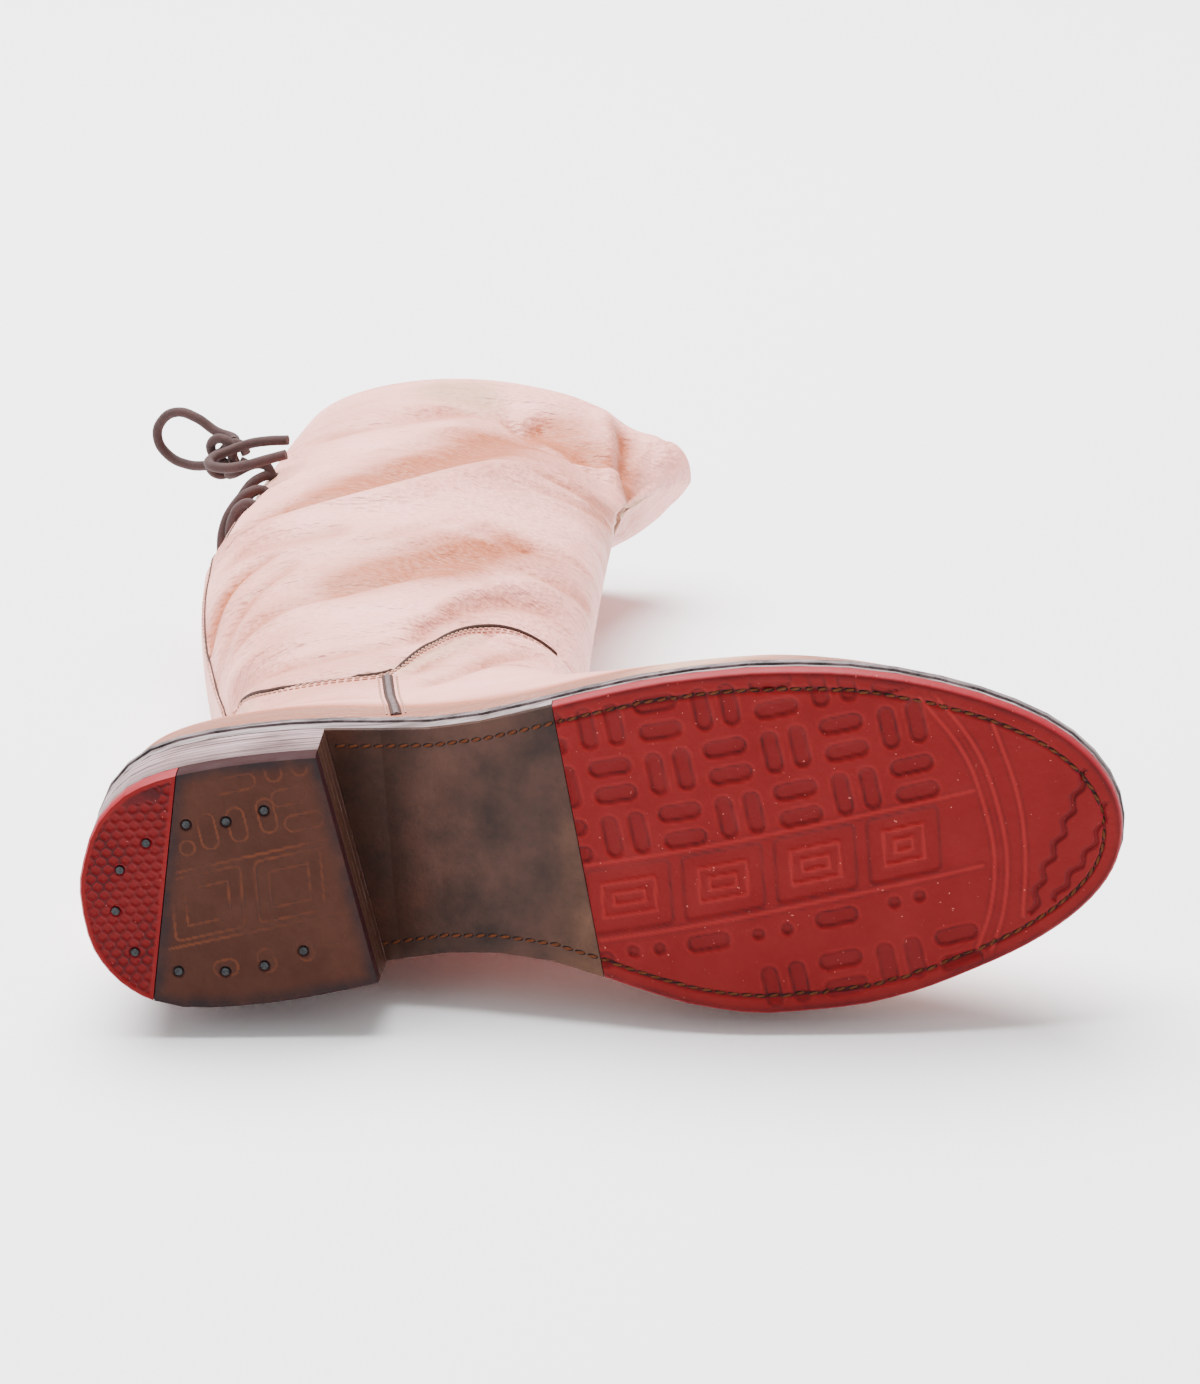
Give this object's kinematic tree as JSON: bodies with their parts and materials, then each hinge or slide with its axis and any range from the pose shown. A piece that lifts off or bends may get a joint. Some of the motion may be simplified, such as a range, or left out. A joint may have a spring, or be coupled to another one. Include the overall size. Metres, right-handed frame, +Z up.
{
  "type": "back-laced tall boot",
  "caption": "Tall slack leather boot for the right foot, laced at the back of the shaft, with a welted leather sole, rubber forefoot and stacked heel, lying on its side.",
  "frame": {"origin": "on the floor, under the middle of the lying boot's box, the lace's knot, loop and ends left out", "axes": "+X towards the toe, +Y up the shaft towards the collar, +Z up, which is the boot's lateral side"},
  "size_m": [0.3055, 0.4134, 0.1015],
  "materials": {
    "upper_leather": "matt pale pink drawn grain",
    "insole_leather": "plain tan",
    "welt_leather": "grey dressed edge",
    "sole_leather": "dark brown, mottled",
    "stack_leather": "grey layered edge",
    "red_rubber": "matt moulded",
    "brown_rubber": "matt moulded, worn",
    "nail_steel": "dull",
    "lace_suede": "napped round cord"
  },
  "bodies": {
    "root": {"upper": "upper_leather", "insole": "insole_leather", "welt": "welt_leather", "outsole": "sole_leather", "forefoot_rubber": "red_rubber", "heel_lift_1": "stack_leather", "heel_lift_2": "stack_leather", "heel_lift_3": "stack_leather", "heel_lift_4": "stack_leather", "top_piece_rear": "red_rubber", "top_piece_front": "brown_rubber", "heel_nail_1": "nail_steel", "heel_nail_2": "nail_steel", "heel_nail_3": "nail_steel", "heel_nail_4": "nail_steel", "heel_nail_5": "nail_steel", "heel_nail_6": "nail_steel", "heel_nail_7": "nail_steel", "heel_nail_8": "nail_steel", "heel_nail_9": "nail_steel", "heel_nail_10": "nail_steel", "heel_nail_11": "nail_steel", "lace_crossings": "lace_suede", "lace_knot": "lace_suede", "lace_loops": "lace_suede", "lace_ends": "lace_suede"}
  },
  "joints": []
}
